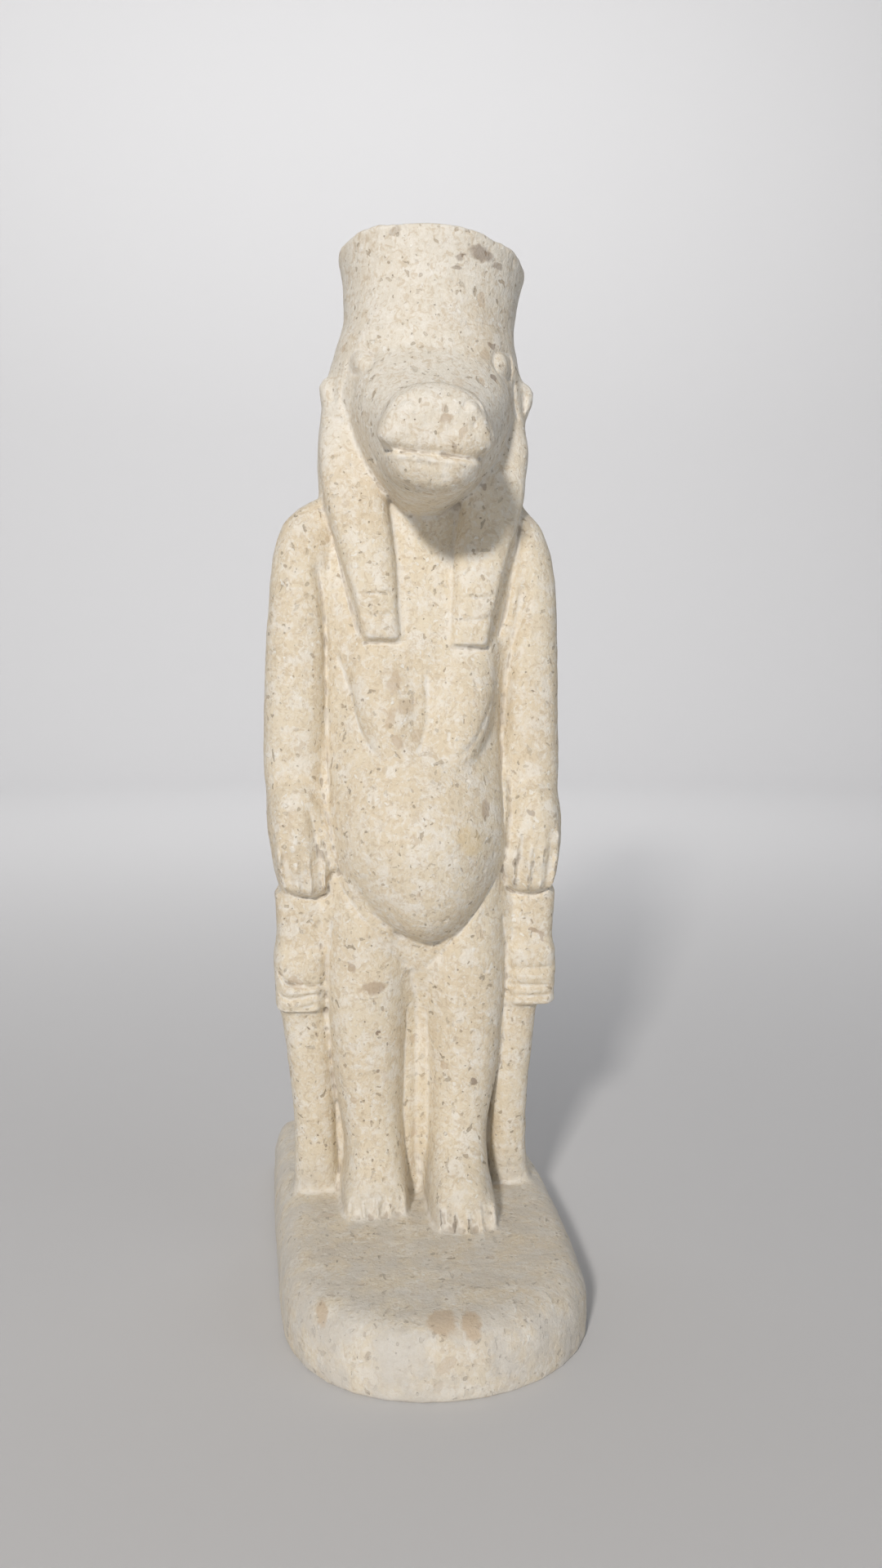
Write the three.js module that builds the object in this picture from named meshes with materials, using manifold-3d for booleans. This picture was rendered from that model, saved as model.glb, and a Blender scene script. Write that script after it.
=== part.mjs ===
// Standing Taweret figure on a low rounded plinth, carved from one block of pale limestone.
// Millimetres, Z up. The figure looks along -Y, and its own left side is at +X.
// The origin is in the middle of the plinth's flat underside.
import * as THREE from "three";
import { mergeVertices } from "three/addons/utils/BufferGeometryUtils.js";
import Module from "manifold-3d";

const wasm = await Module();
wasm.setup();

// Driving dimensions
const STONE_COLOUR = 0xd9cfb8;
const PLINTH_LENGTH = 152;
const PLINTH_HEIGHT = 18;
const CROWN_TOP = 297.8;
const SPINE_Y = 8;
const MUZZLE_NOD = 8;

// A ring of points at height z. It reaches half to each side of x, and from y it
// has its own reach to the front and to the back. A square of 2 is an ellipse, and
// a taper above 0 makes the ring wider behind than in front.
function ring({ x, y = SPINE_Y, z, half, front, back, square = 2, taper = 0 }, sides) {
  const points = [];
  for (let i = 0; i < sides; i += 1) {
    const angle = (2 * Math.PI * i) / sides;
    const across = Math.cos(angle);
    const along = Math.sin(angle);
    const depth = along < 0 ? front : back;
    const reach = Math.sign(along) * Math.abs(along) ** (2 / square);
    const width = half * (1 + taper * reach);
    points.push(new THREE.Vector3(
      x + width * Math.sign(across) * Math.abs(across) ** (2 / square),
      y + depth * reach,
      z,
    ));
  }
  return points;
}

// A closed skin over rings of equal point count, with a point in the middle of both ends
function skin(rings) {
  const sides = rings[0].length;
  const points = rings.flat();
  const faces = [];
  for (let level = 0; level + 1 < rings.length; level += 1) {
    for (let i = 0; i < sides; i += 1) {
      const here = level * sides + i;
      const next = level * sides + ((i + 1) % sides);
      faces.push(here, next, next + sides, here, next + sides, here + sides);
    }
  }
  const middle = (loop) => loop.reduce((sum, point) => sum.add(point), new THREE.Vector3())
    .divideScalar(loop.length);
  const last = (rings.length - 1) * sides;
  const below = points.push(middle(rings[0])) - 1;
  const above = points.push(middle(rings.at(-1))) - 1;
  for (let i = 0; i < sides; i += 1) {
    const next = (i + 1) % sides;
    faces.push(below, next, i, above, last + i, last + next);
  }
  return new THREE.BufferGeometry().setFromPoints(points).setIndex(faces);
}

// Smooth values between hand-set stations: rows steps from each one to the next
function flow(stations, rows) {
  const keys = Object.keys(stations[0]);
  const flowed = [];
  for (let i = 0; i + 1 < stations.length; i += 1) {
    const before = stations[Math.max(i - 1, 0)];
    const after = stations[Math.min(i + 2, stations.length - 1)];
    for (let row = 0; row < rows; row += 1) {
      const t = row / rows;
      const station = {};
      for (const key of keys) {
        const from = stations[i][key];
        const to = stations[i + 1][key];
        const leave = (to - before[key]) / 2;
        const arrive = (after[key] - from) / 2;
        station[key] = from + t * leave
          + t * t * (3 * (to - from) - 2 * leave - arrive)
          + t * t * t * (leave + arrive - 2 * (to - from));
      }
      flowed.push(station);
    }
  }
  flowed.push(stations.at(-1));
  return flowed;
}

// Stations as rows of numbers under the names of their fields
function table(fields, lines) {
  return lines.map((line) => Object.fromEntries(fields.map((field, i) => [field, line[i]])));
}

// A form that stands along Z, from stations at rising heights
function standing(stations, { sides = 24, rows = 3 } = {}) {
  return skin(flow(stations, rows).map((station) => ring(station, sides)));
}

// A form that reaches forward along -Y. Its stations give z as the distance forward,
// y as the height, front as the reach down and back as the reach up.
function reaching(stations, options) {
  return standing(stations, options).rotateX(Math.PI / 2);
}

function ball([x, y, z], [across, deep, tall], detail = 12) {
  const shape = new THREE.SphereGeometry(1, detail, Math.round(detail * 0.7));
  return shape.scale(across, deep, tall).translate(x, y, z);
}

function solid(shape) {
  const bare = shape.index ? shape : shape.clone();
  bare.deleteAttribute("normal");
  bare.deleteAttribute("uv");
  const merged = mergeVertices(bare, 1e-4);
  return new wasm.Manifold(new wasm.Mesh({
    numProp: 3,
    vertProperties: new Float32Array(merged.attributes.position.array),
    triVerts: new Uint32Array(merged.index.array),
  }));
}

function join(parts) {
  return parts.reduce((whole, part) => whole.add(part));
}

// Turn a shape about a point: roll about Y, then nod about X, in degrees
function turned(shape, [x, y, z], roll, nod = 0) {
  return shape.translate(-x, -y, -z)
    .rotateY(THREE.MathUtils.degToRad(roll))
    .rotateX(THREE.MathUtils.degToRad(nod))
    .translate(x, y, z);
}

// Low plinth: long sides a little crooked, square corners behind, a round front
function plinth() {
  const end = PLINTH_LENGTH / 2;
  const corner = 9;
  const bend = -38;
  const rightSide = { back: -45.1, bend: -40.5 };
  const leftSide = { back: 40.6, bend: 43.3 };
  const outline = new THREE.Shape();
  outline.moveTo(rightSide.back + corner, end);
  outline.quadraticCurveTo(rightSide.back, end, rightSide.back, end - corner);
  outline.quadraticCurveTo(-44.6, 20, rightSide.bend, bend);
  outline.bezierCurveTo(-38, -62, -22, -end, 1, -end);
  outline.bezierCurveTo(24, -end, 43, -60, leftSide.bend, bend);
  outline.quadraticCurveTo(46, 10, leftSide.back, end - corner);
  outline.quadraticCurveTo(leftSide.back, end, leftSide.back - corner, end);
  const sides = 44;
  const loop = outline.getSpacedPoints(sides).slice(0, sides);
  const inset = (distance, z) => loop.map((point, i) => {
    const before = loop.at(i - 1);
    const after = loop[(i + 1) % sides];
    const along = after.clone().sub(before).normalize();
    return new THREE.Vector3(point.x - along.y * distance, point.y + along.x * distance, z);
  });
  const edges = [[0.7, 0], [0, 1], [0.1, 9], [1.2, 13.6], [3.6, 16.6], [7.5, PLINTH_HEIGHT]];
  return skin(edges.map(([distance, z]) => inset(distance, z)));
}

// Leg with its foot and five toes. The figure's left foot is set further forward.
function leg(side) {
  const x = side < 0
    ? [-13, -12.9, -12.6, -13.2, -14.6, -14.8, -14]
    : [12.4, 12.4, 12.2, 13, 14.8, 15.2, 14.5];
  const tip = side < 0 ? 23 : 34.5;
  const limb = standing(table(["z", "x", "y", "half", "front", "back", "square"], [
    [PLINTH_HEIGHT - 3, x[0], SPINE_Y, 10.4, tip - 2, 12, 4],
    [PLINTH_HEIGHT + 5, x[1], SPINE_Y, 10.1, tip - 2.4, 12, 3.6],
    [PLINTH_HEIGHT + 11, x[2], SPINE_Y, 9.3, tip - 6, 12, 3],
    [40, x[3], SPINE_Y, 9.2, 15, 13, 2.5],
    [58, x[4], SPINE_Y, 10.9, 14, 14, 2.4],
    [84, x[5], SPINE_Y, 12.8, 15.5, 15, 2.3],
    [118, x[6], SPINE_Y, 13.5, 16, 16, 2.2],
  ]), { sides: 16, rows: 2 });
  const toes = [];
  const toePitch = 4;
  for (let i = -2; i <= 2; i += 1) {
    const reach = tip - 0.5 * Math.abs(i) ** 1.6 - 8;
    const toeX = x[0] + toePitch * i;
    toes.push(standing(table(["z", "x", "y", "half", "front", "back", "square"], [
      [PLINTH_HEIGHT - 2, toeX, 0, 2, reach, 2, 2.4],
      [PLINTH_HEIGHT + 3.5, toeX, 0, 2.1, reach - 0.2, 2, 2.2],
      [PLINTH_HEIGHT + 6.6, toeX, 0, 1.6, reach - 2, 2, 2],
    ]), { sides: 8, rows: 1 }));
  }
  return [limb, ...toes];
}

// Knot amulet under a hand: a tapering post with three bound ridges and a plain block on top
function knotPost(side) {
  const post = side < 0
    ? [[PLINTH_HEIGHT - 3, -31.2, 7], [28, -30.6, 6.6], [50, -31.2, 6.8], [77.4, -34, 7.4]]
    : [[PLINTH_HEIGHT - 3, 31, 7], [28, 29.8, 5.8], [50, 30, 6], [77.4, 32.2, 6.4]];
  const lower = standing(post.map(([z, x, half], i) => (
    { z, x, y: SPINE_Y + 2, half, front: 3 + 2 * i, back: 16, square: 2.6 }
  )), { sides: 12, rows: 2 });
  const x = side < 0 ? -34.8 : 35.4;
  const ridges = [[77, 81], [81.2, 85.6], [85.8, 95.6]];
  const bound = ridges.flatMap(([bottom, top], i) => [
    [bottom, 6.9 + 0.2 * i, 9.3],
    [bottom + 0.8, 7.8 + 0.2 * i, 10.2],
    [top - 0.8, 7.8 + 0.2 * i, 10.2],
    [top, 6.9 + 0.2 * i, 9.3],
  ]);
  const block = [[97, 7.1, 9.3], [104, 7.2, 9.3], [113, 7.8, 10]];
  const upper = standing([...bound, ...block].map(([z, half, front]) => (
    { z, x, y: SPINE_Y, half, front, back: 14, square: 3.4 }
  )), { sides: 12, rows: 1 });
  return [lower, upper];
}

// Chest, waist and hanging belly in one
function torso() {
  return standing(table(["z", "x", "y", "half", "front", "back", "square", "taper"], [
    [99, 2.5, SPINE_Y, 5, 17, 10, 2, 0],
    [103, 2.2, SPINE_Y, 13, 23, 14, 2, 0],
    [109, 1.8, SPINE_Y, 19.5, 27, 16, 2, 0],
    [118, 1.2, SPINE_Y, 25, 30, 18, 2, 0],
    [130, 0.8, SPINE_Y, 28, 31, 18, 2.1, 0],
    [144, 0.2, SPINE_Y, 28.5, 27, 18, 2.1, 0.04],
    [156, -0.5, SPINE_Y, 28.5, 21.5, 18, 2, 0.16],
    [168, 0, SPINE_Y, 28.5, 18, 18, 2.1, 0.12],
    [184, 0.5, SPINE_Y, 29, 15, 18, 2.3, 0.08],
    [204, 1, SPINE_Y, 30, 12, 18, 2.5, 0],
    [220, 1.5, SPINE_Y, 29, 9, 16, 2.4, 0],
    [232, 2, SPINE_Y, 22, 8, 12, 2.2, 0],
  ]), { sides: 24, rows: 2 });
}

// Thighs, seat and the uncut stone left between the legs and the posts
function hips() {
  return standing(table(["z", "x", "y", "half", "front", "back", "square"], [
    [PLINTH_HEIGHT - 3, 0, 20, 33, 10, 9, 5],
    [52, 0, 20, 33, 12, 8, 5],
    [76, 0, 18, 34, 15, 10, 4],
    [92, 0, 16, 34, 19, 12, 3.4],
    [108, 0, 13, 33, 19, 13, 3],
    [124, 0, 12, 32, 16, 14, 3],
  ]), { sides: 20, rows: 1 });
}

// Long pendulous breast, low on the chest
function breast(side) {
  const x = side < 0 ? [-6, -6.6, -8, -9.6, -11.5] : [9.5, 10.2, 11.6, 13, 14];
  return standing(table(["z", "x", "y", "half", "front", "back", "square"], [
    [149.5, x[0], -6, 2.5, 4.5, 3, 2],
    [152.5, x[1], -6, 6.5, 8.4, 5, 2],
    [161, x[2], -4, 9, 10.4, 5, 2.2],
    [174, x[3], -2, 10.4, 9.4, 5, 2.2],
    [190, x[4], 0, 9.5, 5, 5, 2],
  ]), { sides: 12, rows: 2 });
}

// Straight arm held close against the flank
function arm(side) {
  const x = side < 0
    ? [-35.6, -35.8, -35.6, -34.8, -33.2, -32.1, -31, -28.5, -26]
    : [35, 35.2, 34.6, 34.6, 33.4, 32.2, 31, 28.5, 26];
  return standing(table(["z", "x", "y", "half", "front", "back", "square"], [
    [126, x[0], SPINE_Y, 7.6, 9, 10, 2.4],
    [150, x[1], SPINE_Y, 9.4, 10, 12, 2.4],
    [168, x[2], SPINE_Y, 9.4, 10.5, 12.5, 2.4],
    [186, x[3], SPINE_Y, 9.2, 10.5, 12.5, 2.3],
    [206, x[4], SPINE_Y, 9.4, 10, 12, 2.2],
    [214, x[5], SPINE_Y, 9.2, 9.2, 11, 2.2],
    [221, x[6], SPINE_Y, 8, 7.4, 9, 2.1],
    [226, x[7], SPINE_Y, 6, 5.4, 7, 2],
    [228.4, x[8], SPINE_Y, 4, 3.6, 5, 2],
  ]), { sides: 14, rows: 1 });
}

// Hand laid flat on top of its knot amulet, back outwards, fingers down, thumb inwards
function hand(side) {
  const x = side < 0
    ? [-33.2, -33.8, -34.8, -35.4, -35.6, -35.6]
    : [34.4, 34.8, 35.8, 35.6, 35, 34.8];
  const palm = standing(table(["z", "x", "y", "half", "front", "back", "square"], [
    [112.6, x[0], SPINE_Y, 6.6, 12, 9, 2.4],
    [116, x[1], SPINE_Y, 8, 14, 10, 2.4],
    [127, x[2], SPINE_Y, 9, 15.6, 10, 2.3],
    [138, x[3], SPINE_Y, 9.2, 16, 10, 2.2],
    [144.5, x[4], SPINE_Y, 7.8, 13, 9, 2.1],
    [147.5, x[5], SPINE_Y, 5, 9, 7, 2],
  ]), { sides: 12, rows: 2 });
  const fingers = [];
  const fingerPitch = 3.9;
  for (let i = 0; i < 4; i += 1) {
    const across = (i - 1.5) * fingerPitch;
    const short = 0.5 * Math.abs(i - 1.5) ** 1.6;
    fingers.push(standing(table(["z", "x", "y", "half", "front", "back", "square"], [
      [112.2 + short, x[0] + across * 0.9, SPINE_Y, 1.1, 12.6 - short, 2, 2],
      [114.4 + short, x[0] + across, SPINE_Y, 1.9, 15 - short, 2, 2],
      [122, x[1] + across * 1.08, SPINE_Y, 2, 16.6 - short, 2, 2],
      [131, x[2] + across, SPINE_Y, 1.5, 16 - short, 2, 2],
    ]), { sides: 8, rows: 1 }));
  }
  const thumbX = side < 0 ? -24.6 : 26.6;
  const thumb = standing(table(["z", "x", "y", "half", "front", "back", "square"], [
    [118, thumbX, SPINE_Y, 1.8, 10, 6, 2],
    [121, thumbX, SPINE_Y, 3.6, 12.6, 6, 2],
    [131, thumbX + side * 2.4, SPINE_Y, 5, 14, 6, 2],
    [146, thumbX + side * 7, SPINE_Y, 4, 10, 6, 2],
  ]), { sides: 8, rows: 1 });
  return [palm, thumb, ...fingers];
}

// Plain full wig over the back and sides of the head, down on to the shoulders
function wig() {
  return standing(table(["z", "x", "y", "half", "front", "back", "square"], [
    [196, 2, SPINE_Y + 2, 22, 6, 25, 2.6],
    [210, 2.2, SPINE_Y + 2, 27, 8, 27, 2.5],
    [226, 2.6, SPINE_Y + 2, 30.4, 10, 28, 2.4],
    [240, 2.9, SPINE_Y + 2, 31.4, 14.5, 28, 2.3],
    [254, 3.1, SPINE_Y + 2, 30.4, 21.5, 27, 2.2],
    [266, 3.5, SPINE_Y + 2, 28, 25, 26, 2.1],
    [275, 4, SPINE_Y + 2, 25.8, 25.6, 25, 2],
    [280, 4, SPINE_Y + 2, 23.6, 23.6, 24, 2],
  ]), { sides: 24, rows: 1 });
}

// Wig end that hangs on the chest, from under the ear to a square tip with two raised bands
function lappet(side) {
  const x = side < 0
    ? [-10.5, -11.5, -12.5, -14.6, -17.8, -19.5, -20]
    : [14.8, 15.7, 16.7, 19.2, 22.4, 24.6, 25];
  const tip = side < 0 ? 187.6 : 185.8;
  const bandRise = 0.5;
  return standing(table(["z", "x", "y", "half", "front", "back", "square"], [
    [tip, x[0], -2, 5.4, 7.4, 5, 5],
    [tip + 6.4, x[1], -2, 6, 7 + bandRise, 5, 5],
    [tip + 7.2, x[1], -2, 6, 6.9, 5, 5],
    [tip + 12.8, x[2], -2, 6.6, 6.8 + bandRise, 5, 5],
    [tip + 13.6, x[2], -2, 6.7, 6.8, 5, 5],
    [213, x[3], -1, 8.3, 7, 6, 4],
    [228, x[4], 0, 9.4, 7.2, 6, 3],
    [242, x[5], 2, 9, 7, 6, 2.5],
    [254, x[6], 3, 7, 5, 6, 2],
  ]), { sides: 12, rows: 1 });
}

// Head forms lean a little towards the figure's left, and the muzzle also nods
function leaning(shape, nod = 0) {
  const chin = [1.8, -38, 236];
  const lean = 3.4;
  return turned(shape, chin, lean, nod);
}

// Broad forehead and cheeks of the hippopotamus head, narrowing to the muzzle
function face() {
  return leaning(reaching(table(["z", "x", "y", "half", "front", "back", "square", "taper"], [
    [-6, 2.9, 252, 24, 27, 23, 2.1, 0.16],
    [5, 2.9, 251, 23, 26.5, 23, 2.1, 0.16],
    [14, 2.6, 249, 20.6, 23, 19.5, 2.1, 0.14],
    [22, 2.2, 246, 17.2, 19, 14, 2.2, 0.1],
    [30, 1.8, 243, 14, 13, 9.6, 2.3, 0],
    [37, 1.6, 241, 12, 9, 7, 2.3, 0],
  ]), { sides: 22, rows: 2 }));
}

// Broad flat muzzle above the mouth
function muzzle() {
  return leaning(reaching(table(["z", "x", "y", "half", "front", "back", "square", "taper"], [
    [16, 2.2, 241, 13.4, 8, 10, 2.6, -0.12],
    [26, 1.9, 241, 14.2, 7.8, 9.4, 2.7, -0.14],
    [34, 1.6, 240.8, 14.8, 7.6, 10.4, 2.8, -0.18],
    [40.6, 1.5, 240.6, 14.6, 7.4, 11.2, 2.8, -0.22],
    [44.4, 1.5, 240.4, 12.6, 6.6, 8.8, 2.6, -0.16],
    [46, 1.5, 240.2, 8.5, 4.6, 5.4, 2.4, -0.1],
  ]), { sides: 24, rows: 2 }), MUZZLE_NOD);
}

// Lower jaw with its full lip, running back to the throat
function jaw() {
  return leaning(reaching(table(["z", "x", "y", "half", "front", "back", "square", "taper"], [
    [-6, 2.6, 236, 15, 20, 8, 2.2, 0.15],
    [10, 2.3, 234, 15, 14.4, 6, 2.2, 0.15],
    [24, 1.9, 233, 14.2, 10.6, 3, 2.2, 0.12],
    [35, 1.7, 232.4, 13.4, 9.4, 2.6, 2.3, 0.1],
    [41, 1.6, 232.2, 12, 8, 2.4, 2.4, 0.1],
    [44, 1.5, 232, 9.4, 5.8, 2, 2.3, 0.1],
    [45.4, 1.5, 232, 6, 3.4, 1.4, 2.2, 0.1],
  ]), { sides: 20, rows: 2 }), MUZZLE_NOD);
}

// Narrow slot of the mouth, round the front of the muzzle
function mouthSlot() {
  const slotZ = 233.4;
  const slotHeight = 1;
  const slotDepth = 1.3;
  const corners = -30;
  const lips = { x: 1.6, y: -22, half: 14.8, front: 24, back: 6, square: 2.9 };
  const disc = (grow, height) => solid(leaning(standing([-1, 1].map((end) => (
    { ...lips, z: slotZ + end * height / 2, half: lips.half + grow, front: lips.front + grow }
  )), { sides: 20, rows: 1 }), MUZZLE_NOD));
  const behind = new THREE.BoxGeometry(60, 30, 8).translate(lips.x, corners + 15, slotZ);
  const cutter = disc(4, slotHeight).subtract(disc(-slotDepth, 4));
  return cutter.subtract(solid(leaning(behind, MUZZLE_NOD)));
}

// Flat cylinder crown, flaring to its rim
function crown() {
  const middleY = 11;
  const foot = [4.6, middleY, 278];
  const rise = CROWN_TOP - 278;
  const shape = standing(table(["z", "x", "y", "half", "front", "back", "square"], [
    [272, 4.8, middleY, 25.2, 24, 24, 2],
    [280, 4.8, middleY, 25.2, 24.4, 24.4, 2],
    [278 + rise * 0.5, 4.6, middleY, 25.8, 25.4, 25.4, 2],
    [CROWN_TOP - 3, 4.3, middleY, 27.4, 27.4, 27.4, 2],
    [CROWN_TOP - 0.8, 4.2, middleY, 28, 28, 28, 2],
    [CROWN_TOP, 4.2, middleY, 27, 27, 27, 2],
  ]), { sides: 30, rows: 1 });
  return turned(shape, foot, 5.4, -5);
}

// Crocodile's back and tail, laid in low overlapping steps down to the plinth
function tail() {
  const steps = 10;
  const top = 214;
  const pitch = (top - PLINTH_HEIGHT) / steps;
  const stations = [];
  for (let i = 0; i < steps; i += 1) {
    const bottom = PLINTH_HEIGHT + i * pitch;
    const share = i / steps;
    const half = 9 + 6 * Math.sin(share * Math.PI * 0.75);
    const back = 32 - 12 * share + 3 * Math.cos(share * 2 * Math.PI);
    const lip = i === 0 ? bottom - 3 : bottom + 0.6;
    const plan = { x: 0.5, y: SPINE_Y, front: 4, square: 2.3 };
    stations.push({ ...plan, z: lip, half: half + 0.8, back: back + 1.4 });
    stations.push({ ...plan, z: bottom + pitch, half: half - 0.4, back });
  }
  return standing(stations, { sides: 12, rows: 1 });
}

// Small round ear low on the side of the wig
function ear(side) {
  const place = side < 0 ? [-23.6, 4, 257] : [31.4, 5, 257];
  return turned(ball(place, [4.2, 4, 6.2], 10), place, side * 12);
}

function eye(side) {
  const place = side < 0 ? [-15.6, -7, 264.6] : [22.2, -6.6, 264.4];
  return ball(place, [3.6, 3.4, 3.6], 10);
}

function nostril(side) {
  const place = side < 0 ? [-7.4, -39.6, 246.6] : [10.2, -39.4, 245.6];
  return ball(place, [3.4, 4, 3.4], 8);
}

// Small pit cut into the belly
function navel() {
  return ball([-4.6, -24.4, 131.8], [2, 2.4, 2], 8);
}

const BOTH_SIDES = [-1, 1];
const forms = [
  plinth(),
  ...BOTH_SIDES.flatMap(leg),
  ...BOTH_SIDES.flatMap(knotPost),
  hips(),
  torso(),
  ...BOTH_SIDES.map(breast),
  ...BOTH_SIDES.map(arm),
  ...BOTH_SIDES.flatMap(hand),
  wig(),
  ...BOTH_SIDES.map(lappet),
  face(),
  muzzle(),
  jaw(),
  ...BOTH_SIDES.map(ear),
  ...BOTH_SIDES.map(eye),
  ...BOTH_SIDES.map(nostril),
  crown(),
  tail(),
];
const carved = join(forms.map(solid)).subtract(mouthSlot()).subtract(solid(navel()));

const mesh = carved.getMesh();
const geometry = new THREE.BufferGeometry();
geometry.setAttribute("position", new THREE.BufferAttribute(mesh.vertProperties, 3));
geometry.setIndex(new THREE.BufferAttribute(mesh.triVerts, 1));
geometry.computeVertexNormals();

const limestone = new THREE.MeshStandardMaterial({
  color: STONE_COLOUR,
  roughness: 0.9,
  metalness: 0,
});
const statue = new THREE.Mesh(geometry, limestone);
statue.name = "taweret_statue";

const model = new THREE.Group();
model.add(statue);

export default model;
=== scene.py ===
"""Hand-carved limestone figure of Taweret on a low rounded plinth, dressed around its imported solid."""
import math

import bmesh
import bpy
import numpy as np
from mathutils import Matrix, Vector, noise
from mathutils.bvhtree import BVHTree


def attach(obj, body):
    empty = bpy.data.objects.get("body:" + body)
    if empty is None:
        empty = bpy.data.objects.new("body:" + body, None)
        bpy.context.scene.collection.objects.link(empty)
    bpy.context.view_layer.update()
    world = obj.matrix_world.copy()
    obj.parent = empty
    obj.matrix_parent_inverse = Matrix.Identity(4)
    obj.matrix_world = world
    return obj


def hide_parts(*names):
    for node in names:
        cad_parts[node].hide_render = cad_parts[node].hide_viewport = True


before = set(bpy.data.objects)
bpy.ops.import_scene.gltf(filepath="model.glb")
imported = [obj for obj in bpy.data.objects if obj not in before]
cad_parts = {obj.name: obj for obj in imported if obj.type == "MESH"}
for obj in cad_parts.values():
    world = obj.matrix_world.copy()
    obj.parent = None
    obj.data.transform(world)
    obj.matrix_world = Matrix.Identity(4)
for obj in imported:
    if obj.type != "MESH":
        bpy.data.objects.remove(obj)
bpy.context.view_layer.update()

# ---------------------------------------------------------------------------------------------
# Studio: a seamless pale sweep that rises into a wall all round, a big soft key from the upper
# left, a weak fill from the right and an even pale sky.
# ---------------------------------------------------------------------------------------------
SWEEP_FLOOR = 1.6
SWEEP_BEND = 0.7
SWEEP_WALL = 2.4


def linked(name, data):
    """A new object of that data, in the scene."""
    made = bpy.data.objects.new(name, data)
    bpy.context.scene.collection.objects.link(made)
    return made


sweep = bmesh.new()
profile = [Vector((0, 0, 0)), Vector((0.25, 0, 0)), Vector((SWEEP_FLOOR, 0, 0))]
for step in range(1, 13):
    angle = math.radians(90 * step / 12)
    profile.append(Vector((
        SWEEP_FLOOR + SWEEP_BEND * math.sin(angle), 0, SWEEP_BEND * (1 - math.cos(angle)),
    )))
profile.append(Vector((SWEEP_FLOOR + SWEEP_BEND, 0, SWEEP_WALL)))
corners = [sweep.verts.new(point) for point in profile]
edges = [sweep.edges.new(pair) for pair in zip(corners, corners[1:])]
bmesh.ops.spin(
    sweep, geom=corners + edges, cent=(0, 0, 0), axis=(0, 0, 1), angle=math.tau, steps=64, use_merge=True,
)
bmesh.ops.remove_doubles(sweep, verts=sweep.verts, dist=1e-5)
bmesh.ops.recalc_face_normals(sweep, faces=sweep.faces)
bmesh.ops.reverse_faces(sweep, faces=sweep.faces)
sweep_mesh = bpy.data.meshes.new("studio_sweep")
sweep.to_mesh(sweep_mesh)
sweep.free()
sweep_mesh.shade_smooth()
studio_sweep = linked("studio_sweep", sweep_mesh)

paper = bpy.data.materials.new("matt_studio_paper")
paper.use_nodes = True
paper_shader = paper.node_tree.nodes["Principled BSDF"]
paper_shader.inputs["Base Color"].default_value = (0.68, 0.68, 0.69, 1)
paper_shader.inputs["Roughness"].default_value = 0.95
paper_shader.inputs["Specular IOR Level"].default_value = 0.1
sweep_mesh.materials.append(paper)

world = bpy.data.worlds.new("pale_sky")
world.use_nodes = True
world.node_tree.nodes["Background"].inputs["Color"].default_value = (0.93, 0.96, 1, 1)
world.node_tree.nodes["Background"].inputs["Strength"].default_value = 0.16
bpy.context.scene.world = world
bpy.context.scene.view_settings.view_transform = "Standard"


def softbox(name, place, aim, size, power, tint):
    """A square area light at a place, turned to its aim."""
    lamp = bpy.data.lights.new(name, "AREA")
    lamp.size = size
    lamp.energy = power
    lamp.color = tint
    made = linked(name, lamp)
    made.location = place
    made.rotation_euler = (Vector(place) - Vector(aim)).to_track_quat("Z", "Y").to_euler()
    return made


softbox("key_softbox", (-0.46, -1.26, 0.74), (0, 0, 0.16), 0.13, 14.5, (1, 0.955, 0.9))
softbox("fill_softbox", (1.1, -0.7, 0.6), (0, 0, 0.15), 0.9, 1.6, (0.9, 0.95, 1))
softbox("wall_softbox", (0, 0.8, 1.6), (0, 2.2, 0.75), 1.4, 24, (1, 0.99, 0.98))

# ---------------------------------------------------------------------------------------------
# Camera: a phone held level with the figure's chest, a step to its right and looking a little down.
# ---------------------------------------------------------------------------------------------
CAMERA_PLACE = (-0.0321, -0.3460, 0.1773)
CAMERA_TURN = math.radians(6.5)
CAMERA_DIP = math.radians(5.3)

camera = linked("photo_camera", bpy.data.cameras.new("photo_camera"))
camera.data.lens = 27.04
camera.data.sensor_width = 36
camera.data.clip_start = 0.01
camera.data.clip_end = 20
camera.location = CAMERA_PLACE
camera.rotation_euler = Vector((
    math.sin(CAMERA_TURN) * math.cos(CAMERA_DIP),
    math.cos(CAMERA_TURN) * math.cos(CAMERA_DIP),
    -math.sin(CAMERA_DIP),
)).to_track_quat("-Z", "Y").to_euler()
bpy.context.scene.camera = camera

# ---------------------------------------------------------------------------------------------
# The block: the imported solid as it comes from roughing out. A fine skin is drawn over it, and the
# flat facets are rubbed away, but not the hollows and edges between the forms.
# ---------------------------------------------------------------------------------------------
SKIN = 0.00065
FACET_BEND = 0.11
CREASE_BEND = 0.34


def settled(piece):
    """The piece with its modifiers made real."""
    graph = bpy.context.evaluated_depsgraph_get()
    mesh = bpy.data.meshes.new_from_object(piece.evaluated_get(graph))
    piece.modifiers.clear()
    piece.vertex_groups.clear()
    piece.data = mesh
    return piece


def rows(items, field, width, kind=np.float32):
    """A field of mesh points or edges as an array with one row for each."""
    flat = np.empty(len(items) * width, kind)
    items.foreach_get(field, flat)
    return flat.reshape(-1, width)


def ramp(low, high, value):
    """0 below low, 1 above high and a smooth rise between."""
    share = np.clip((value - low) / (high - low), 0, 1)
    return share * share * (3 - 2 * share)


def shared(values, pairs, rounds):
    """Values of points, each averaged with its neighbours, that many times."""
    count = np.bincount(pairs.ravel(), minlength=len(values))
    for _ in range(rounds):
        total = np.bincount(pairs[:, 0], values[pairs[:, 1]], len(values))
        total += np.bincount(pairs[:, 1], values[pairs[:, 0]], len(values))
        values = (values + total / count) / 2
    return values


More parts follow.
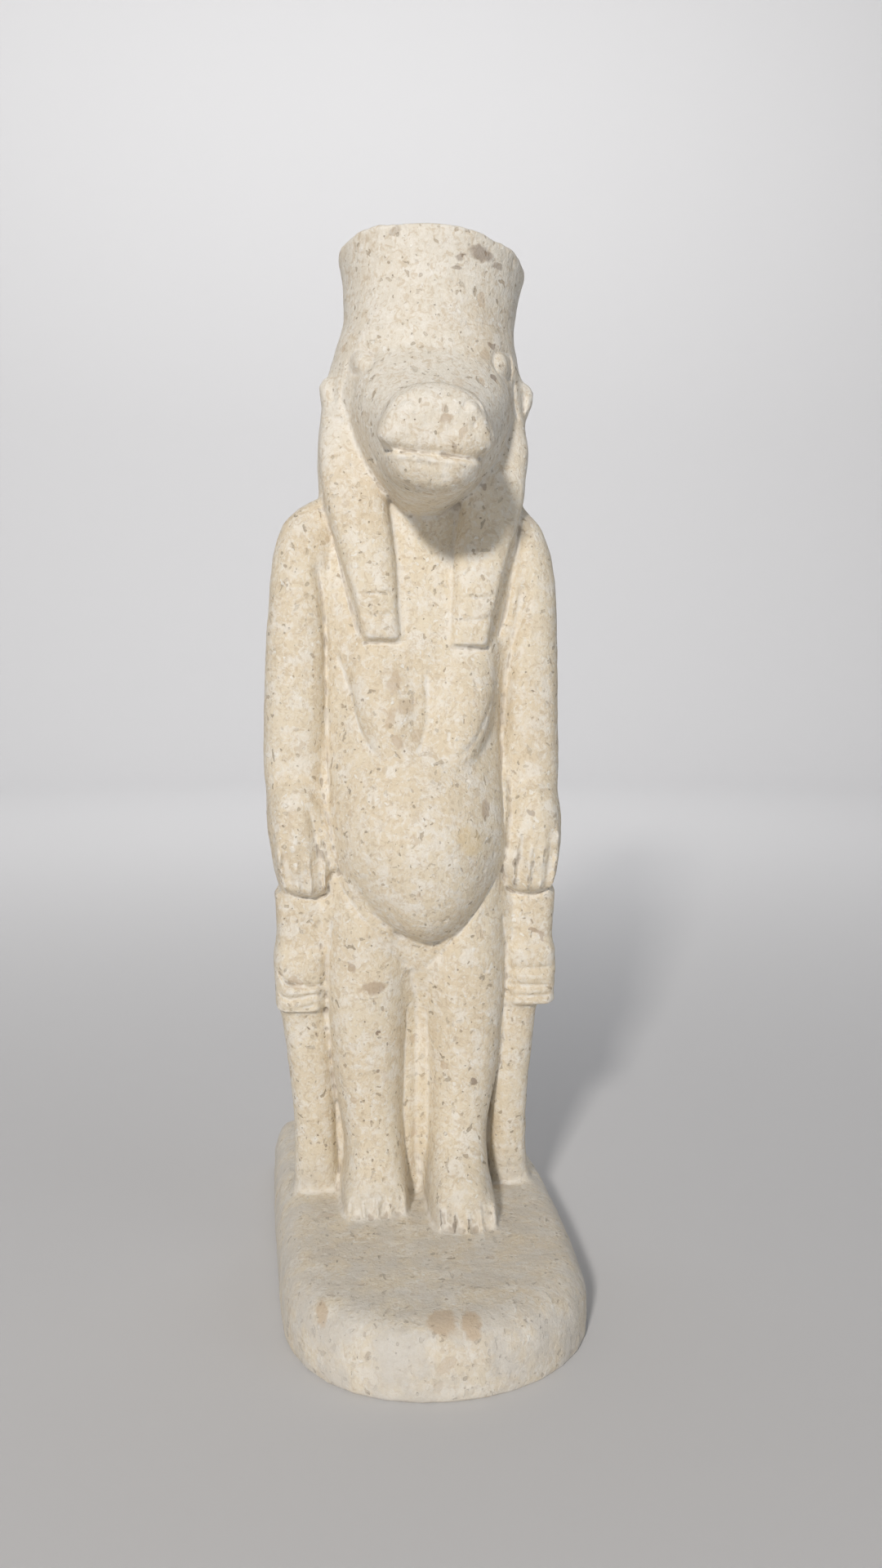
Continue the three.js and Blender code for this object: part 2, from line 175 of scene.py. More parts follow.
def bend(mesh):
    """Mean curvature per mm at each point: above 0 in hollows, below 0 on edges."""
    place = rows(mesh.vertices, "co", 3) * 1000.0
    facing = rows(mesh.vertices, "normal", 3)
    pairs = rows(mesh.edges, "vertices", 2, np.int32)
    step = place[pairs[:, 1]] - place[pairs[:, 0]]
    length = np.maximum((step * step).sum(1), 1e-6)
    here = 2 * (step * facing[pairs[:, 0]]).sum(1) / length
    there = -2 * (step * facing[pairs[:, 1]]).sum(1) / length
    total = np.bincount(pairs[:, 0], here, len(place)) + np.bincount(pairs[:, 1], there, len(place))
    return total / np.bincount(pairs.ravel(), minlength=len(place))


def rubbed(piece, rounds, where=None):
    """The piece rubbed smooth, everywhere or by a weight from 0 to 1 for each point."""
    smooth = piece.modifiers.new("rubbed", "SMOOTH")
    smooth.factor = 0.5
    smooth.iterations = rounds
    if where is not None:
        group = piece.vertex_groups.new(name="rubbed")
        levels = np.round(np.clip(where, 0, 1) * 16).astype(int)
        for level in range(1, 17):
            group.add(np.flatnonzero(levels == level).tolist(), level / 16, "REPLACE")
        smooth.vertex_group = group.name
    return settled(piece)


def around(place, centre, reach):
    """1 at a centre, fading smoothly to 0 at its reach along each axis, in mm."""
    far = np.linalg.norm((place - np.array(centre)) / np.array(reach), axis=1)
    return 1 - ramp(0.55, 1, far)


block = bmesh.new()
block.from_mesh(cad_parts["taweret_statue"].data)
bmesh.ops.remove_doubles(block, verts=block.verts, dist=1e-7)
block_mesh = bpy.data.meshes.new("carved_taweret")
block.to_mesh(block_mesh)
block.free()
statue = linked("carved_taweret", block_mesh)

skin = statue.modifiers.new("skin", "REMESH")
skin.mode = "VOXEL"
skin.voxel_size = SKIN
settled(statue)
rubbed(statue, 6)

pairs = rows(statue.data.edges, "vertices", 2, np.int32)
place = rows(statue.data.vertices, "co", 3) * 1000.0
sharp = ramp(FACET_BEND, CREASE_BEND, np.abs(shared(bend(statue.data), pairs, 2)))
for _ in range(3):
    sharp = np.maximum(sharp, shared(sharp, pairs, 1) * 1.15)
broad = 1 - np.clip(shared(sharp, pairs, 4), 0, 1)
for centre, reach in (
    ((-14, -9, 262), (15, 12, 16)),
    ((19, -9, 262), (15, 12, 16)),
    ((3, -14, 266), (30, 13, 10)),
    ((3, -24, 254), (20, 12, 9)),
    ((3, -40, 251), (19, 10, 8)),
):
    broad = np.maximum(broad, around(place, centre, reach))
broad *= np.where(place[:, 2] < 1.5, 0, 1)
rubbed(statue, 90, broad)

# ---------------------------------------------------------------------------------------------
# Carving tools. They work on the skin's points in mm. A groove or a ridge follows a path that is
# drawn from one side and pressed into the stone, and a hollow or a swelling has a centre there.
# ---------------------------------------------------------------------------------------------
SIDES = {
    "front": ((1, 0, 0), (0, 0, 1), (0, 1, 0)),
    "back": ((1, 0, 0), (0, 0, 1), (0, -1, 0)),
    "left": ((0, 1, 0), (0, 0, 1), (-1, 0, 0)),
    "right": ((0, 1, 0), (0, 0, 1), (1, 0, 0)),
}
surface = {}


def take_up():
    """Reads the statue's surface, ready for carving."""
    mesh = statue.data
    surface["place"] = rows(mesh.vertices, "co", 3).astype(float) * 1000
    surface["facing"] = rows(mesh.vertices, "normal", 3).astype(float)
    surface["tree"] = BVHTree.FromPolygons(
        surface["place"].tolist(), [tuple(face.vertices) for face in mesh.polygons],
    )


def put_down():
    """Writes the carved surface back to the statue."""
    statue.data.vertices.foreach_set("co", (surface["place"] / 1000).astype(np.float32).ravel())
    statue.data.update()


def pressed(spot, side):
    """The first point of the stone behind a spot that is drawn from that side."""
    across, up, inward = (Vector(axis) for axis in SIDES[side])
    start = across * spot[0] + up * spot[1] - inward * 200
    return surface["tree"].ray_cast(start, inward)[0]


def drawn(path, side, loop):
    """A path of spots, filled in, pressed onto the stone and evened out."""
    corners = [Vector(spot) for spot in path]
    if loop:
        corners.append(corners[0])
    spots = []
    for start, end in zip(corners, corners[1:]):
        steps = max(round((end - start).length / 0.7), 1)
        spots += [start.lerp(end, step / steps) for step in range(steps)]
    spots.append(corners[-1])
    line = np.array([point for point in (pressed(spot, side) for spot in spots) if point])
    for _ in range(5):
        line[1:-1] = line[1:-1] / 2 + (line[:-2] + line[2:]) / 4
    return line


def groove(path, width, depth, side="front", loop=False, ends=2.0):
    """A groove of that width and depth along a path, or a ridge where the depth is below 0."""
    line = drawn(path, side, loop)
    reach = width * 1.3
    near = np.flatnonzero(np.all(
        (surface["place"] > line.min(0) - reach) & (surface["place"] < line.max(0) + reach), axis=1,
    ))
    place = surface["place"][near]
    far = np.full(len(near), 1e9)
    gone = np.zeros(len(near))
    length = 0.0
    for start, end in zip(line, line[1:]):
        step = end - start
        size = max(float(step @ step), 1e-9)
        share = np.clip((place - start) @ step / size, 0, 1)
        gap = np.linalg.norm(place - start - share[:, None] * step, axis=1)
        gone = np.where(gap < far, length + share * size ** 0.5, gone)
        far = np.minimum(gap, far)
        length += size ** 0.5
    fade = 1 if loop else ramp(0, 1, np.minimum(gone, length - gone) / ends + 0.15)
    sink = depth * fade * np.exp(-((far / (width / 2)) ** 2))
    surface["place"][near] += sink[:, None] * np.array(SIDES[side][2])


def swell(spot, reach, height, side="front"):
    """A swelling round a spot, or a hollow where the height is below 0."""
    centre = np.array(pressed(spot, side))
    far = np.linalg.norm((surface["place"] - centre) / np.array(reach), axis=1)
    near = np.flatnonzero(far < 2.2)
    rise = height * np.exp(-(far[near] ** 2) * 1.6)
    surface["place"][near] += surface["facing"][near] * rise[:, None]


take_up()

# ---------------------------------------------------------------------------------------------
# Head: worn eyes inside a cut ring, hollowed ears low on the wig, two nostril rims on a flat nose
# pad, and a long mouth whose lower lip stands out as a ledge.
# ---------------------------------------------------------------------------------------------
groove([(-22, 275.6), (-8, 275), (2, 275), (12, 275), (28, 275.4)], 3.6, 0.5, ends=3)
groove([(-22, 272), (-8, 271.4), (2, 271.4), (12, 271.4), (28, 271.8)], 3.6, -0.35, ends=3)

groove(
    [(-19, 265.5), (-17.4, 267.6), (-14.8, 267.4), (-12.6, 265), (-12.8, 261.8), (-15.4, 259.8), (-18, 260.4), (-19.4, 263)],
    1.7, 1, loop=True,
)
swell((-16, 263.6), (2.6, 3.4, 3), 1.1)
groove([(-12, 264.5), (-12, 261), (-15, 258.8), (-18.6, 259.4)], 1.3, -0.3)
groove(
    [(20.8, 264.2), (21.4, 267.4), (24.2, 268.6), (26.9, 268.3), (27.5, 265.6), (27, 262), (24.2, 260.1), (21.4, 260.8)],
    1.5, 1, loop=True,
)
swell((24.3, 264.6), (2.6, 3.2, 3.4), 0.8)
groove([(26.5, 266.4), (26.5, 262.6), (23.4, 261.6)], 0.9, -0.35, ends=1)

groove([(-4.6, 249.8), (-8.3, 247.6), (-11, 245.4), (-12.8, 242.6), (-13.4, 239.5)], 2, 0.7, ends=3)
groove([(12.9, 248.6), (14, 245.6), (14.8, 242), (15.6, 238.6), (16, 235.4)], 2, 0.7, ends=3)
groove([(-12.6, 236.2), (-10.7, 235), (-6, 233.8), (-2, 233.3), (4.3, 232.5), (9.6, 232), (13.8, 232)], 1.4, 1, ends=3)
groove([(-11.4, 233.2), (-6, 231.9), (-2, 231.4), (4.3, 230.7), (9.6, 230.2), (12.6, 230.3)], 1.5, -0.7, ends=2)
groove([(14.6, 231), (13, 228.6), (10.3, 226.8), (6.8, 225.8)], 1.8, 0.6)
groove([(-12.2, 232.6), (-11, 230.2), (-8.8, 228), (-5.7, 226.4)], 1.8, 0.45)
swell((-13, 236.4), (1.6, 2.4, 1.6), -0.6)
for middle in (-6.3, 10.3):
    groove(
        [(middle - 2.7, 243.2), (middle - 2.2, 245.2), (middle, 246.6), (middle + 2.2, 245.2), (middle + 2.6, 243.2)],
        1.3, 0.7,
    )
    swell((middle, 243.8), (1.9, 1.7, 1.8), 0.7)
swell((10.6, 240.2), (2, 2, 2), -0.5)
swell((10.9, 239.8), (0.8, 0.9, 0.8), -0.7)
groove([(-9.4, 241.6), (-8.6, 239.6)], 1.2, 0.4)
groove([(17.4, 236.6), (17.8, 233)], 1.2, 0.4)

groove([(33, 262), (34.6, 259.4), (35, 256), (34.4, 252.6)], 1.2, -0.5)
groove([(31.6, 259.6), (32, 256.4), (31.8, 253)], 2.2, 1.4)
groove([(28.8, 262.4), (28, 258), (28.4, 254), (30.2, 250)], 1.8, 1)
groove([(-19.6, 261.4), (-21, 259), (-21.4, 256), (-20.6, 252.6), (-19.2, 249.2)], 2.4, 0.9)
groove([(-27.4, 251.6), (-24, 249.9), (-20.4, 248.6)], 1.8, 0.9)
swell((-25.6, 257), (1.8, 2.4, 3.2), 0.8)
groove([(-23.4, 259.6), (-23.6, 256.6), (-23.4, 253.8)], 1.7, 0.8)

# ---------------------------------------------------------------------------------------------
# Wig ends: two flat lappets with square ends and a pair of cut bands, standing off the chest.
# ---------------------------------------------------------------------------------------------
for band in (
    [(-18.6, 200.9), (-15.8, 200.1), (-12.3, 200.1), (-6.8, 200.7)],
    [(-17.2, 194.6), (-14, 194.2), (-10, 194.1), (-6.6, 194.5)],
    [(10.2, 199.4), (13, 199), (18, 199.1), (22, 199.6)],
    [(9.8, 192.9), (12, 192.5), (17, 192.7), (20.8, 193.4)],
):
    groove(band, 1.1, 0.6, ends=1)
    groove([(x, z + 1.1) for x, z in band], 1.2, -0.3, ends=1)
groove([(-25.2, 222), (-23.6, 215.7), (-22, 209.2), (-20.6, 202.2), (-19, 196.3), (-16.8, 188)], 2.2, 1.6, ends=3)
groove([(31, 222), (29.4, 209.8), (28, 201.5), (26.2, 194), (23.6, 187)], 2.6, 2, ends=3)
groove([(-16.6, 186.4), (-12, 186), (-8, 186), (-4.4, 186.4)], 1.5, 0.9, ends=1.5)
groove([(8.8, 184.8), (13, 184.4), (17, 184.4), (21.4, 184.8)], 1.5, 0.9, ends=1.5)

# ---------------------------------------------------------------------------------------------
# Chest, belly and arms: the breasts keep a fine cut edge, a chiselled channel parts each arm from
# the body, and the belly ends in a crisp line over the thighs.
# ---------------------------------------------------------------------------------------------
groove([(-23.8, 184.7), (-21.5, 178.8), (-19.3, 171.7), (-17.8, 164.7), (-15.6, 158.5), (-12, 154)], 1.6, 0.8, ends=4)
groove([(2.2, 178), (2.6, 170), (2.2, 163.5), (0.8, 158), (-2, 153.6)], 1.8, 0.9, ends=4)
groove([(22.4, 172), (19.4, 164.7), (16.5, 159), (13.2, 155.4), (9, 153.2)], 1.7, 0.7, ends=4)
groove(
    [(-29, 210), (-27.6, 201), (-26.6, 192), (-26.2, 182), (-26, 171), (-26, 160), (-26, 149), (-25.8, 140)],
    2.4, 1.8, ends=6,
)
groove([(-27.6, 194), (-27.4, 182), (-27.2, 171), (-27.4, 160), (-27.6, 149)], 1.4, -0.3, ends=6)
groove(
    [(31.8, 206), (30.6, 196), (29, 188), (27.8, 179), (26.8, 169), (26, 159), (25.6, 150), (25.2, 143), (25.4, 132)],
    3.4, 2.4, ends=6,
)
groove([(28.6, 199), (26.6, 192), (25.4, 184), (24.6, 176)], 1.1, 0.4)
groove([(29.6, 196), (27.6, 189), (26.4, 181)], 1, 0.3)
groove([(-25, 120), (-22, 114.6), (-17.5, 107.7), (-11.5, 100.3), (-5.3, 93.2), (-1, 89.5)], 1.6, 0.8, ends=5)
groove([(24, 120), (21, 114), (16, 107), (11.4, 100.9), (5.7, 93.6), (2, 89.5)], 1.6, 0.9, ends=5)
swell((-4.9, 132), (1.2, 1.4, 1.1), -0.9)

# ---------------------------------------------------------------------------------------------
# Hands: fingers parted by shallow cuts that run down to the nails, thumbs folded inwards, and a
# deep line under the fingertips where they rest on the amulets.
# ---------------------------------------------------------------------------------------------
swell((-35, 129), (7, 7, 10), 0.7)
swell((35.4, 128), (6, 7, 11), 0.5)
for path, width, depth in (
    ([(-41, 144.6), (-37, 147.4), (-33, 146.4), (-28.6, 141.6)], 4.4, 0.6),
    ([(27.4, 142), (31, 145), (36, 145), (40, 141.8)], 4.4, 0.6),
    ([(-38.2, 127), (-37.4, 119.3), (-36.6, 115)], 1, 0.35),
    ([(-34.9, 128), (-34.4, 118.7), (-34, 114.4)], 1, 0.35),
    ([(-31.8, 129), (-30.9, 121), (-30.4, 115)], 1, 0.35),
    ([(-32.4, 140), (-31.2, 136), (-30.2, 131), (-29.1, 126.8), (-28.1, 123), (-27, 118.5), (-26.4, 113.6)], 2, 1.1),
    ([(-29.8, 132.4), (-28.4, 130), (-27, 127.6)], 1, 0.4),
    ([(-27.4, 138.4), (-26.2, 136), (-25.2, 133), (-23.6, 129)], 1.2, 0.5),
    ([(35.6, 131), (34.7, 124.8), (33.9, 120.6), (33.6, 115)], 1, 0.5),
    ([(38.4, 132), (38.9, 127.8), (38.8, 122), (38.4, 115)], 1, 0.45),
    ([(31, 125), (32.2, 119.7), (32.2, 114.8)], 1, 0.4),
    ([(28.8, 124), (27.9, 121), (26.5, 119.4)], 1.3, 0.6),
    ([(36.8, 128), (36.4, 121), (35.8, 115)], 0.9, 0.25),
    ([(34.3, 142.6), (35.3, 141), (37, 139.3)], 1.1, 0.3),
):
    groove(path, width, depth, ends=2.5)
groove(
    [(-43, 128), (-42.2, 125), (-41.4, 121), (-40.3, 117), (-38.3, 113.6), (-36, 112.4), (-33, 111.8), (-30, 111.5), (-27.2, 111.9), (-25.6, 113.6)],
    1.6, 1.3,
)
groove([(26.2, 113.6), (29.6, 112), (32, 111.5), (34.6, 111.3), (37, 111.8), (39.6, 113), (42, 115.6)], 1.6, 1.3)

# ---------------------------------------------------------------------------------------------
# Knot amulets: a plain block over three bound ridges with hand-cut, uneven lines between them,
# and a slim post below. The outer face is squared off by a long upright cut.
# ---------------------------------------------------------------------------------------------
for path, depth in (
    ([(-41.4, 90), (-39.3, 86.4), (-35.5, 85.2), (-30.7, 85), (-27.6, 85.2)], 1.3),
    ([(-41.4, 87.6), (-38.6, 83.4), (-35.5, 83.2), (-30.7, 83.6), (-27.8, 83.8)], -0.5),
    ([(-41.4, 83), (-39.1, 81.4), (-36.5, 81.3), (-32.9, 82.2), (-28.4, 82.5)], 1.1),
    ([(-41.2, 79), (-39.2, 77.9), (-36.5, 78), (-32.2, 79), (-28.8, 79.4)], 1),
    ([(27.8, 88.2), (30, 88.5), (34, 88.7), (38, 88.8), (42, 88.5)], 1.1),
    ([(27.8, 86), (34, 86), (42, 85.8)], -0.5),
    ([(28, 83.2), (31, 83.4), (36, 83.3), (41.4, 83)], 1.1),
    ([(28, 81.6), (36, 81.7), (41, 81.4)], -0.4),
    ([(27.8, 79.6), (31, 80), (36, 80.1), (40.6, 79.8)], 0.9),
):
    groove(path, 1.3, depth, ends=1)
swell((-35.5, 98), (5, 3, 7), -0.5)

# ---------------------------------------------------------------------------------------------
# Legs and feet: straight legs with the uncut stone between them, a deep slit down the middle,
# and toes that are worn down to rough stubs.
# ---------------------------------------------------------------------------------------------
groove([(-2, 90), (0, 80), (0.4, 70), (0.2, 52), (0.2, 34), (1, 22)], 3, 1.4)
groove([(-25, 106), (-26.4, 94), (-26.6, 79), (-25.8, 65), (-25, 50), (-24.4, 36), (-23.8, 24)], 2.2, 1)
groove([(25.4, 106), (27.2, 96), (27.2, 84), (26, 71), (24.8, 59), (24, 44), (23.6, 30), (24, 22)], 2.2, 1.1)
for gap, foot in ((-17.8, 19), (-13.6, 18.6), (-9.9, 19), (-5.6, 20.4), (6.1, 19.8), (9.2, 19.2), (13.1, 19.6), (17, 20)):
    groove([(gap - 0.2, foot + 5.6), (gap, foot)], 1.4, 0.5)
swell((-10, 27), (5, 3, 1.8), -0.6)
swell((8, 27.4), (4.4, 3, 1.6), -0.5)
put_down()

# ---------------------------------------------------------------------------------------------
# Wear: the hand-cut surface wavers a little, with small hollows and pits where grains fell out,
# chips along the crown's rim, the plinth and the toes, and softened edges.
# ---------------------------------------------------------------------------------------------
def grain(place, size, start):
    """Even noise from -1 to 1 at each place, with lumps of that size in mm."""
    shift = Vector((start, -start, start * 0.5))
    return np.array([noise.noise(Vector(point) / size + shift) for point in place.tolist()])


take_up()
place = surface["place"]
waver = 0.26 * grain(place, 13, 1) + 0.16 * grain(place, 4.5, 7) + 0.07 * grain(place, 1.7, 3)
rough = np.zeros(len(place))
for centre, reach, strength in (
    ((-11, -13, 21), (9, 8, 9), 1), ((12, -22, 21), (9, 8, 9), 1), ((0, 4, 20), (7, 12, 16), 1),
    ((17, -10, 297), (13, 9, 7), 0.6), ((-8, -10, 300), (12, 8, 5), 0.5), ((3, -46, 242), (13, 6, 7), 0.7),
    ((0, -66, 6), (34, 16, 9), 0.8),
):
    rough = np.maximum(rough, strength * around(place, centre, reach))
waver += rough * 0.45 * grain(place, 2.4, 11)
ridge = np.clip(-shared(bend(statue.data), pairs, 2), 0, 0.5)
waver -= ridge * 1.1 * np.clip(grain(place, 6, 5) + 0.35, 0, 1)
pit = np.clip(grain(place, 1.6, 17) - 0.5, 0, 1) * np.clip(grain(place, 22, 23) * 2 + 0.7, 0.1, 1)
waver -= pit * 1.8
waver[place[:, 2] < 0.8] = 0
surface["place"] = place + surface["facing"] * waver[:, None]
put_down()
rubbed(statue, 1)

crumbs = statue.modifiers.new("fewer_faces", "DECIMATE")
crumbs.ratio = min(190000 / (2 * len(statue.data.polygons)), 1)
settled(statue)

# ---------------------------------------------------------------------------------------------
# Limestone: a matt cream stone with paler chalk, small dark grains at every angle, larger beige
# shell pieces, pinholes and fine chisel streaks. Dust lies in the hollows, painted shade with some grime darkens the
# narrow creases, and the edges are bare.
# ---------------------------------------------------------------------------------------------
surface_bend = shared(bend(statue.data), rows(statue.data.edges, "vertices", 2, np.int32), 3)
hollow = statue.data.attributes.new("hollow", "FLOAT", "POINT")
hollow.data.foreach_set("value", np.clip(surface_bend, -1, 1).astype(np.float32))

limestone = bpy.data.materials.new("cream_limestone")
limestone.use_nodes = True
stone = limestone.node_tree
stone_shader = stone.nodes["Principled BSDF"]


def step(kind, *links, **settings):
    """A shader node of that kind. Links are numbers, colours or other nodes' outputs, by socket."""
    made = stone.nodes.new("ShaderNode" + kind)
    for name, value in settings.items():
        setattr(made, name, value)
    for socket, value in links:
        if isinstance(value, bpy.types.NodeSocket):
            stone.links.new(value, made.inputs[socket])
        else:
            made.inputs[socket].default_value = value
    return made


def sums(operation, first, second=0.0, third=0.0):
    """A sum of two or three numbers."""
    return step("Math", (0, first), (1, second), (2, third), operation=operation).outputs[0]


def vectors(operation, first, second=(0, 0, 0)):
    """A sum of two vectors."""
    return step("VectorMath", (0, first), (1, second), operation=operation)


def shown(value, low, high, weakest=0.0, strongest=1.0):
    """A number eased from its weakest at low to its strongest at high."""
    return step(
        "MapRange", ("Value", value), ("From Min", low), ("From Max", high), ("To Min", weakest),
        ("To Max", strongest), interpolation_type="SMOOTHSTEP",
    ).outputs[0]


def cloud(place, lumps, detail=3.0, rough=0.55, twist=0.0):
    """Noise round a half, with lumps of that size in mm."""
    return step(
        "TexNoise", ("Vector", place), ("Scale", 1 / lumps), ("Detail", detail), ("Roughness", rough), ("Distortion", twist),
    ).outputs[0]


def tinted(share, under, over, blend="MIX"):
    """One colour over another by a share."""
    return step(
        "Mix", (0, share), (6, under), (7, over), data_type="RGBA", blend_type=blend,
    ).outputs[2]


def grains(place, spacing, shape, size, chance):
    """A mask of grains, each turned its own way: their spacing and size in mm, their rough chance."""
    cells = step("TexVoronoi", ("Vector", place), ("Scale", 1 / spacing), ("Randomness", 1.0))
    local = vectors("SUBTRACT", place, step("VectorMath", (0, cells.outputs["Position"]), (3, 1.0), operation="SCALE").outputs[0])
    turns = vectors("MULTIPLY", cells.outputs["Color"], (6.3, 6.3, 6.3)).outputs[0]
    turned = step("VectorRotate", ("Vector", local.outputs[0]), ("Rotation", turns), rotation_type="EULER_XYZ").outputs[0]
    far = step("VectorMath", (0, vectors("MULTIPLY", turned, shape).outputs[0]), operation="LENGTH").outputs["Value"]
    draws = step("SeparateColor", (0, cells.outputs["Color"]))
    reach = sums("MULTIPLY", shown(draws.outputs[0], 1 - chance, 1.0, 0.0, 1.0), size)
    return shown(sums("SUBTRACT", reach, far), 0.0, 0.12 * size + 0.05), draws.outputs[1]


object_place = step("TexCoord").outputs["Object"]
mm = step("VectorMath", (0, object_place), (3, 1000.0), operation="SCALE").outputs[0]
drift = vectors("SUBTRACT", step("TexNoise", ("Vector", mm), ("Scale", 0.45), ("Detail", 2.0)).outputs["Color"], (0.5, 0.5, 0.5))
uneven = vectors("ADD", mm, step("VectorMath", (0, drift.outputs[0]), (3, 2.6), operation="SCALE").outputs[0]).outputs[0]
height = step("SeparateXYZ", (0, mm)).outputs[2]
dent = step("Attribute", attribute_name="hollow").outputs["Fac"]

high = shown(height, 215, 250)
cream = tinted(high, (0.80, 0.715, 0.565, 1), (0.80, 0.755, 0.665, 1))
tone = tinted(shown(cloud(mm, 30), 0.4, 0.62, 0.0, 0.5), cream, (0.735, 0.62, 0.455, 1))
tone = tinted(shown(cloud(uneven, 5, 4, 0.6), 0.46, 0.64, 0.0, 0.7), tone, (0.87, 0.835, 0.765, 1))
tone = tinted(shown(cloud(mm, 2.6, 3, 0.6, 1.6), 0.5, 0.62, 0.0, 0.5), tone, (0.60, 0.49, 0.35, 1))
tone = tinted(shown(cloud(uneven, 1.3, 2, 0.5, 0.8), 0.5, 0.66, 0.0, 0.5), tone, (0.90, 0.87, 0.80, 1))

clast, clast_draw = grains(uneven, 9, (1, 1.6, 2.2), 3.6, 0.6)
tone = tinted(sums("MULTIPLY", clast, shown(clast_draw, 0.0, 1.0, 0.2, 0.6)), tone, (0.60, 0.475, 0.34, 1))
fleck, fleck_draw = grains(uneven, 2.7, (1, 3.0, 3.4), 1.7, 0.85)
tone = tinted(sums("MULTIPLY", fleck, shown(fleck_draw, 0.0, 1.0, 0.1, 0.8)), tone, (0.43, 0.35, 0.255, 1))
sliver, sliver_draw = grains(vectors("ADD", uneven, (31, 17, 5)).outputs[0], 3.6, (1, 4.2, 5), 2.6, 0.8)
tone = tinted(sums("MULTIPLY", sliver, shown(sliver_draw, 0.0, 1.0, 0.2, 0.8)), tone, (0.38, 0.32, 0.24, 1))
bit, bit_draw = grains(mm, 2.3, (1, 2.2, 2.2), 0.7, 0.6)
tone = tinted(sums("MULTIPLY", bit, shown(bit_draw, 0.0, 1.0, 0.2, 0.8)), tone, (0.33, 0.26, 0.19, 1))
chalk, chalk_draw = grains(vectors("ADD", uneven, (7, 23, 41)).outputs[0], 2.6, (1, 2.6, 2.6), 1.5, 0.8)
tone = tinted(sums("MULTIPLY", chalk, shown(chalk_draw, 0.0, 1.0, 0.2, 0.8)), tone, (0.92, 0.90, 0.84, 1))

streaks = cloud(vectors("MULTIPLY", uneven, (1, 1, 0.13)).outputs[0], 0.9, 2)
tone = tinted(shown(streaks, 0.5, 0.75, 0.0, 0.3), tone, (0.62, 0.54, 0.42, 1))
base_grey = sums("MULTIPLY", shown(height, 34, 12), shown(cloud(mm, 9, 3), 0.35, 0.62, 0.25, 0.8))
tone = tinted(base_grey, tone, (0.66, 0.63, 0.58, 1))
dust = sums("MULTIPLY", shown(dent, 0.05, 0.24), shown(cloud(mm, 3, 3), 0.38, 0.6, 0.2, 0.75))
tone = tinted(dust, tone, (0.84, 0.81, 0.75, 1))
# Painted shade with some grime: the narrowest creases, where shade falls, are darkened to a dark brown.
crease_shade_and_grime = sums("MULTIPLY", shown(dent, 0.28, 0.55, 0.0, 0.6), shown(cloud(mm, 6, 2), 0.35, 0.6, 0.35, 1.0))
tone = tinted(crease_shade_and_grime, tone, (0.36, 0.29, 0.215, 1))
bare = sums("MULTIPLY", shown(dent, -0.12, -0.42), shown(cloud(mm, 2.5, 2), 0.4, 0.6, 0.1, 0.6))
tone = tinted(bare, tone, (0.89, 0.86, 0.80, 1))


def mark(spot, reach, turn, colour, strength):
    """A patch of colour round a spot of the front, with its reach across and up, and a turn."""
    local = vectors("SUBTRACT", uneven, spot).outputs[0]
    turned = step("VectorRotate", ("Vector", local), ("Angle", math.radians(turn)), rotation_type="Y_AXIS").outputs[0]
    flat = vectors("MULTIPLY", turned, (1 / reach[0], 1 / 5, 1 / reach[1])).outputs[0]
    far = step("VectorMath", (0, flat), operation="LENGTH").outputs["Value"]
    return tinted(shown(far, 1.15, 0.7, 0.0, strength), tone, colour)


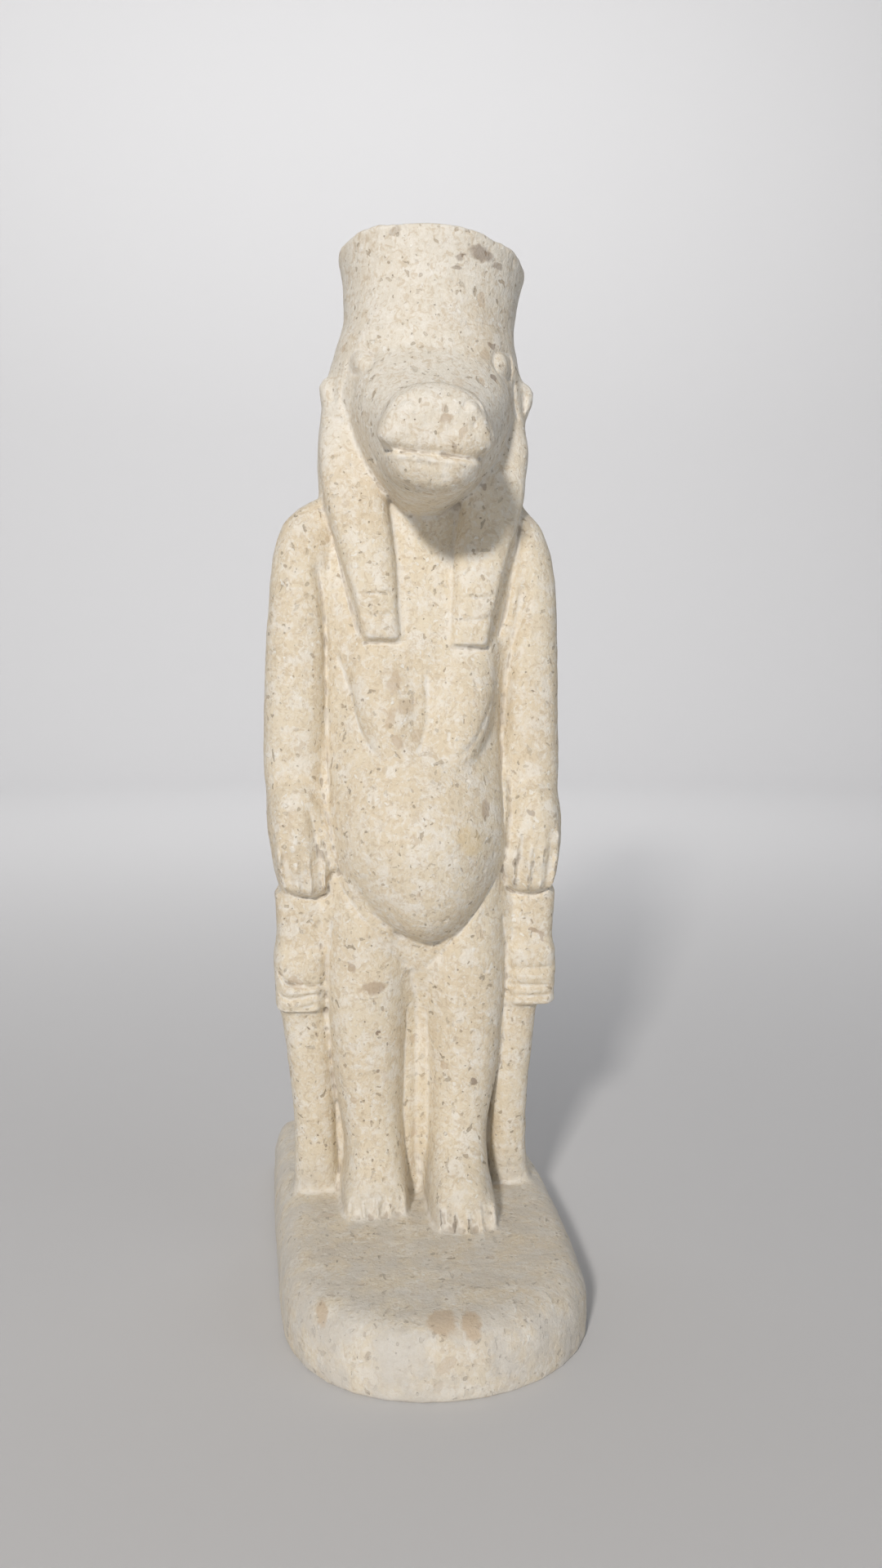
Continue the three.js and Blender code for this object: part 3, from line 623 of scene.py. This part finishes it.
BROWN = (0.235, 0.165, 0.12, 1)
TAN = (0.45, 0.34, 0.24, 1)
BEIGE = (0.60, 0.475, 0.34, 1)
for spot, reach, turn, colour, strength in (
    ((17.5, -12, 293.2), (4.2, 2), -8, BROWN, 0.6),
    ((11.2, -13, 291.6), (1.6, 0.9), 20, BROWN, 0.5),
    ((22.4, -9, 291.2), (1.8, 1), 0, BROWN, 0.5),
    ((10.4, -13, 289), (1.6, 0.7), -5, BROWN, 0.5),
    ((-6.6, -12, 298.6), (2, 0.9), 30, BROWN, 0.3),
    ((3.1, -46, 241), (1.6, 1.3), 30, TAN, 0.5),
    ((3, -46, 243.5), (0.9, 1.2), 0, TAN, 0.4),
    ((5.3, -45, 234.3), (0.8, 1.4), 20, BROWN, 0.4),
    ((20.4, -10, 269.1), (1.5, 0.6), -12, BROWN, 0.6),
    ((20, -16, 258.9), (1.5, 0.9), -25, BROWN, 0.65),
    ((18.8, -6, 230.6), (0.9, 1.1), 0, BROWN, 0.5),
    ((-7.2, -10, 175.3), (1.9, 4), -14, BEIGE, 0.6),
    ((-4, -11, 168.3), (4, 2.4), 24, BEIGE, 0.45),
    ((-8.6, -13, 164.9), (1.2, 3.2), -20, BEIGE, 0.5),
    ((-6.6, -14, 158.5), (1.4, 2.2), 24, BEIGE, 0.65),
    ((13.2, -19, 130.5), (4, 4.8), 30, (0.74, 0.58, 0.33, 1), 0.45),
    ((18.4, -14, 138.9), (1.6, 3), -18, TAN, 0.6),
    ((33.2, -7, 136.9), (1.3, 1), 0, BROWN, 0.45),
    ((-13.3, -7, 85.7), (3.8, 2.1), -5, TAN, 0.65),
    ((-19.9, -6, 91.7), (1.2, 2), 30, TAN, 0.6),
    ((35.6, -1, 100.4), (2.2, 0.8), -25, TAN, 0.7),
    ((37.9, -1, 98.6), (0.7, 1.8), 12, TAN, 0.6),
    ((-12.1, -6, 71.6), (0.7, 0.8), 0, BROWN, 0.75),
    ((-12.1, -6, 60.2), (0.8, 0.7), 0, BROWN, 0.6),
    ((16.6, -6, 55.5), (1.3, 0.9), -10, BROWN, 0.7),
    ((-0.3, -69, 17.2), (4, 3), 0, BEIGE, 0.75),
    ((7, -70, 16.4), (2.6, 3.2), 8, BEIGE, 0.8),
    ((-29.8, -58, 15.4), (1.6, 2.6), 0, BEIGE, 0.7),
):
    tone = mark(spot, reach, turn, colour, strength)
stone.links.new(tone, stone_shader.inputs["Base Color"])

rough = shown(cloud(mm, 4, 2), 0.3, 0.7, 0.72, 0.9)
stone.links.new(rough, stone_shader.inputs["Roughness"])
stone_shader.inputs["Specular IOR Level"].default_value = 0.32

relief = sums("MULTIPLY", cloud(mm, 0.55, 3, 0.65), 0.1)
relief = sums("MULTIPLY_ADD", cloud(uneven, 1.8, 3), 0.22, relief)
relief = sums("MULTIPLY_ADD", streaks, 0.16, relief)
relief = sums("MULTIPLY_ADD", fleck, -0.08, relief)
relief = sums("MULTIPLY_ADD", sliver, -0.12, relief)
relief = sums("MULTIPLY_ADD", bit, -0.22, relief)
relief = sums("MULTIPLY_ADD", clast, -0.05, relief)
relief = sums("MULTIPLY_ADD", chalk, 0.05, relief)
bumps = step("Bump", ("Height", relief), ("Distance", 0.001), ("Strength", 1.0))
stone.links.new(bumps.outputs[0], stone_shader.inputs["Normal"])

statue.data.materials.clear()
statue.data.materials.append(limestone)
statue.data.shade_smooth()

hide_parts("taweret_statue")
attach(statue, "root")
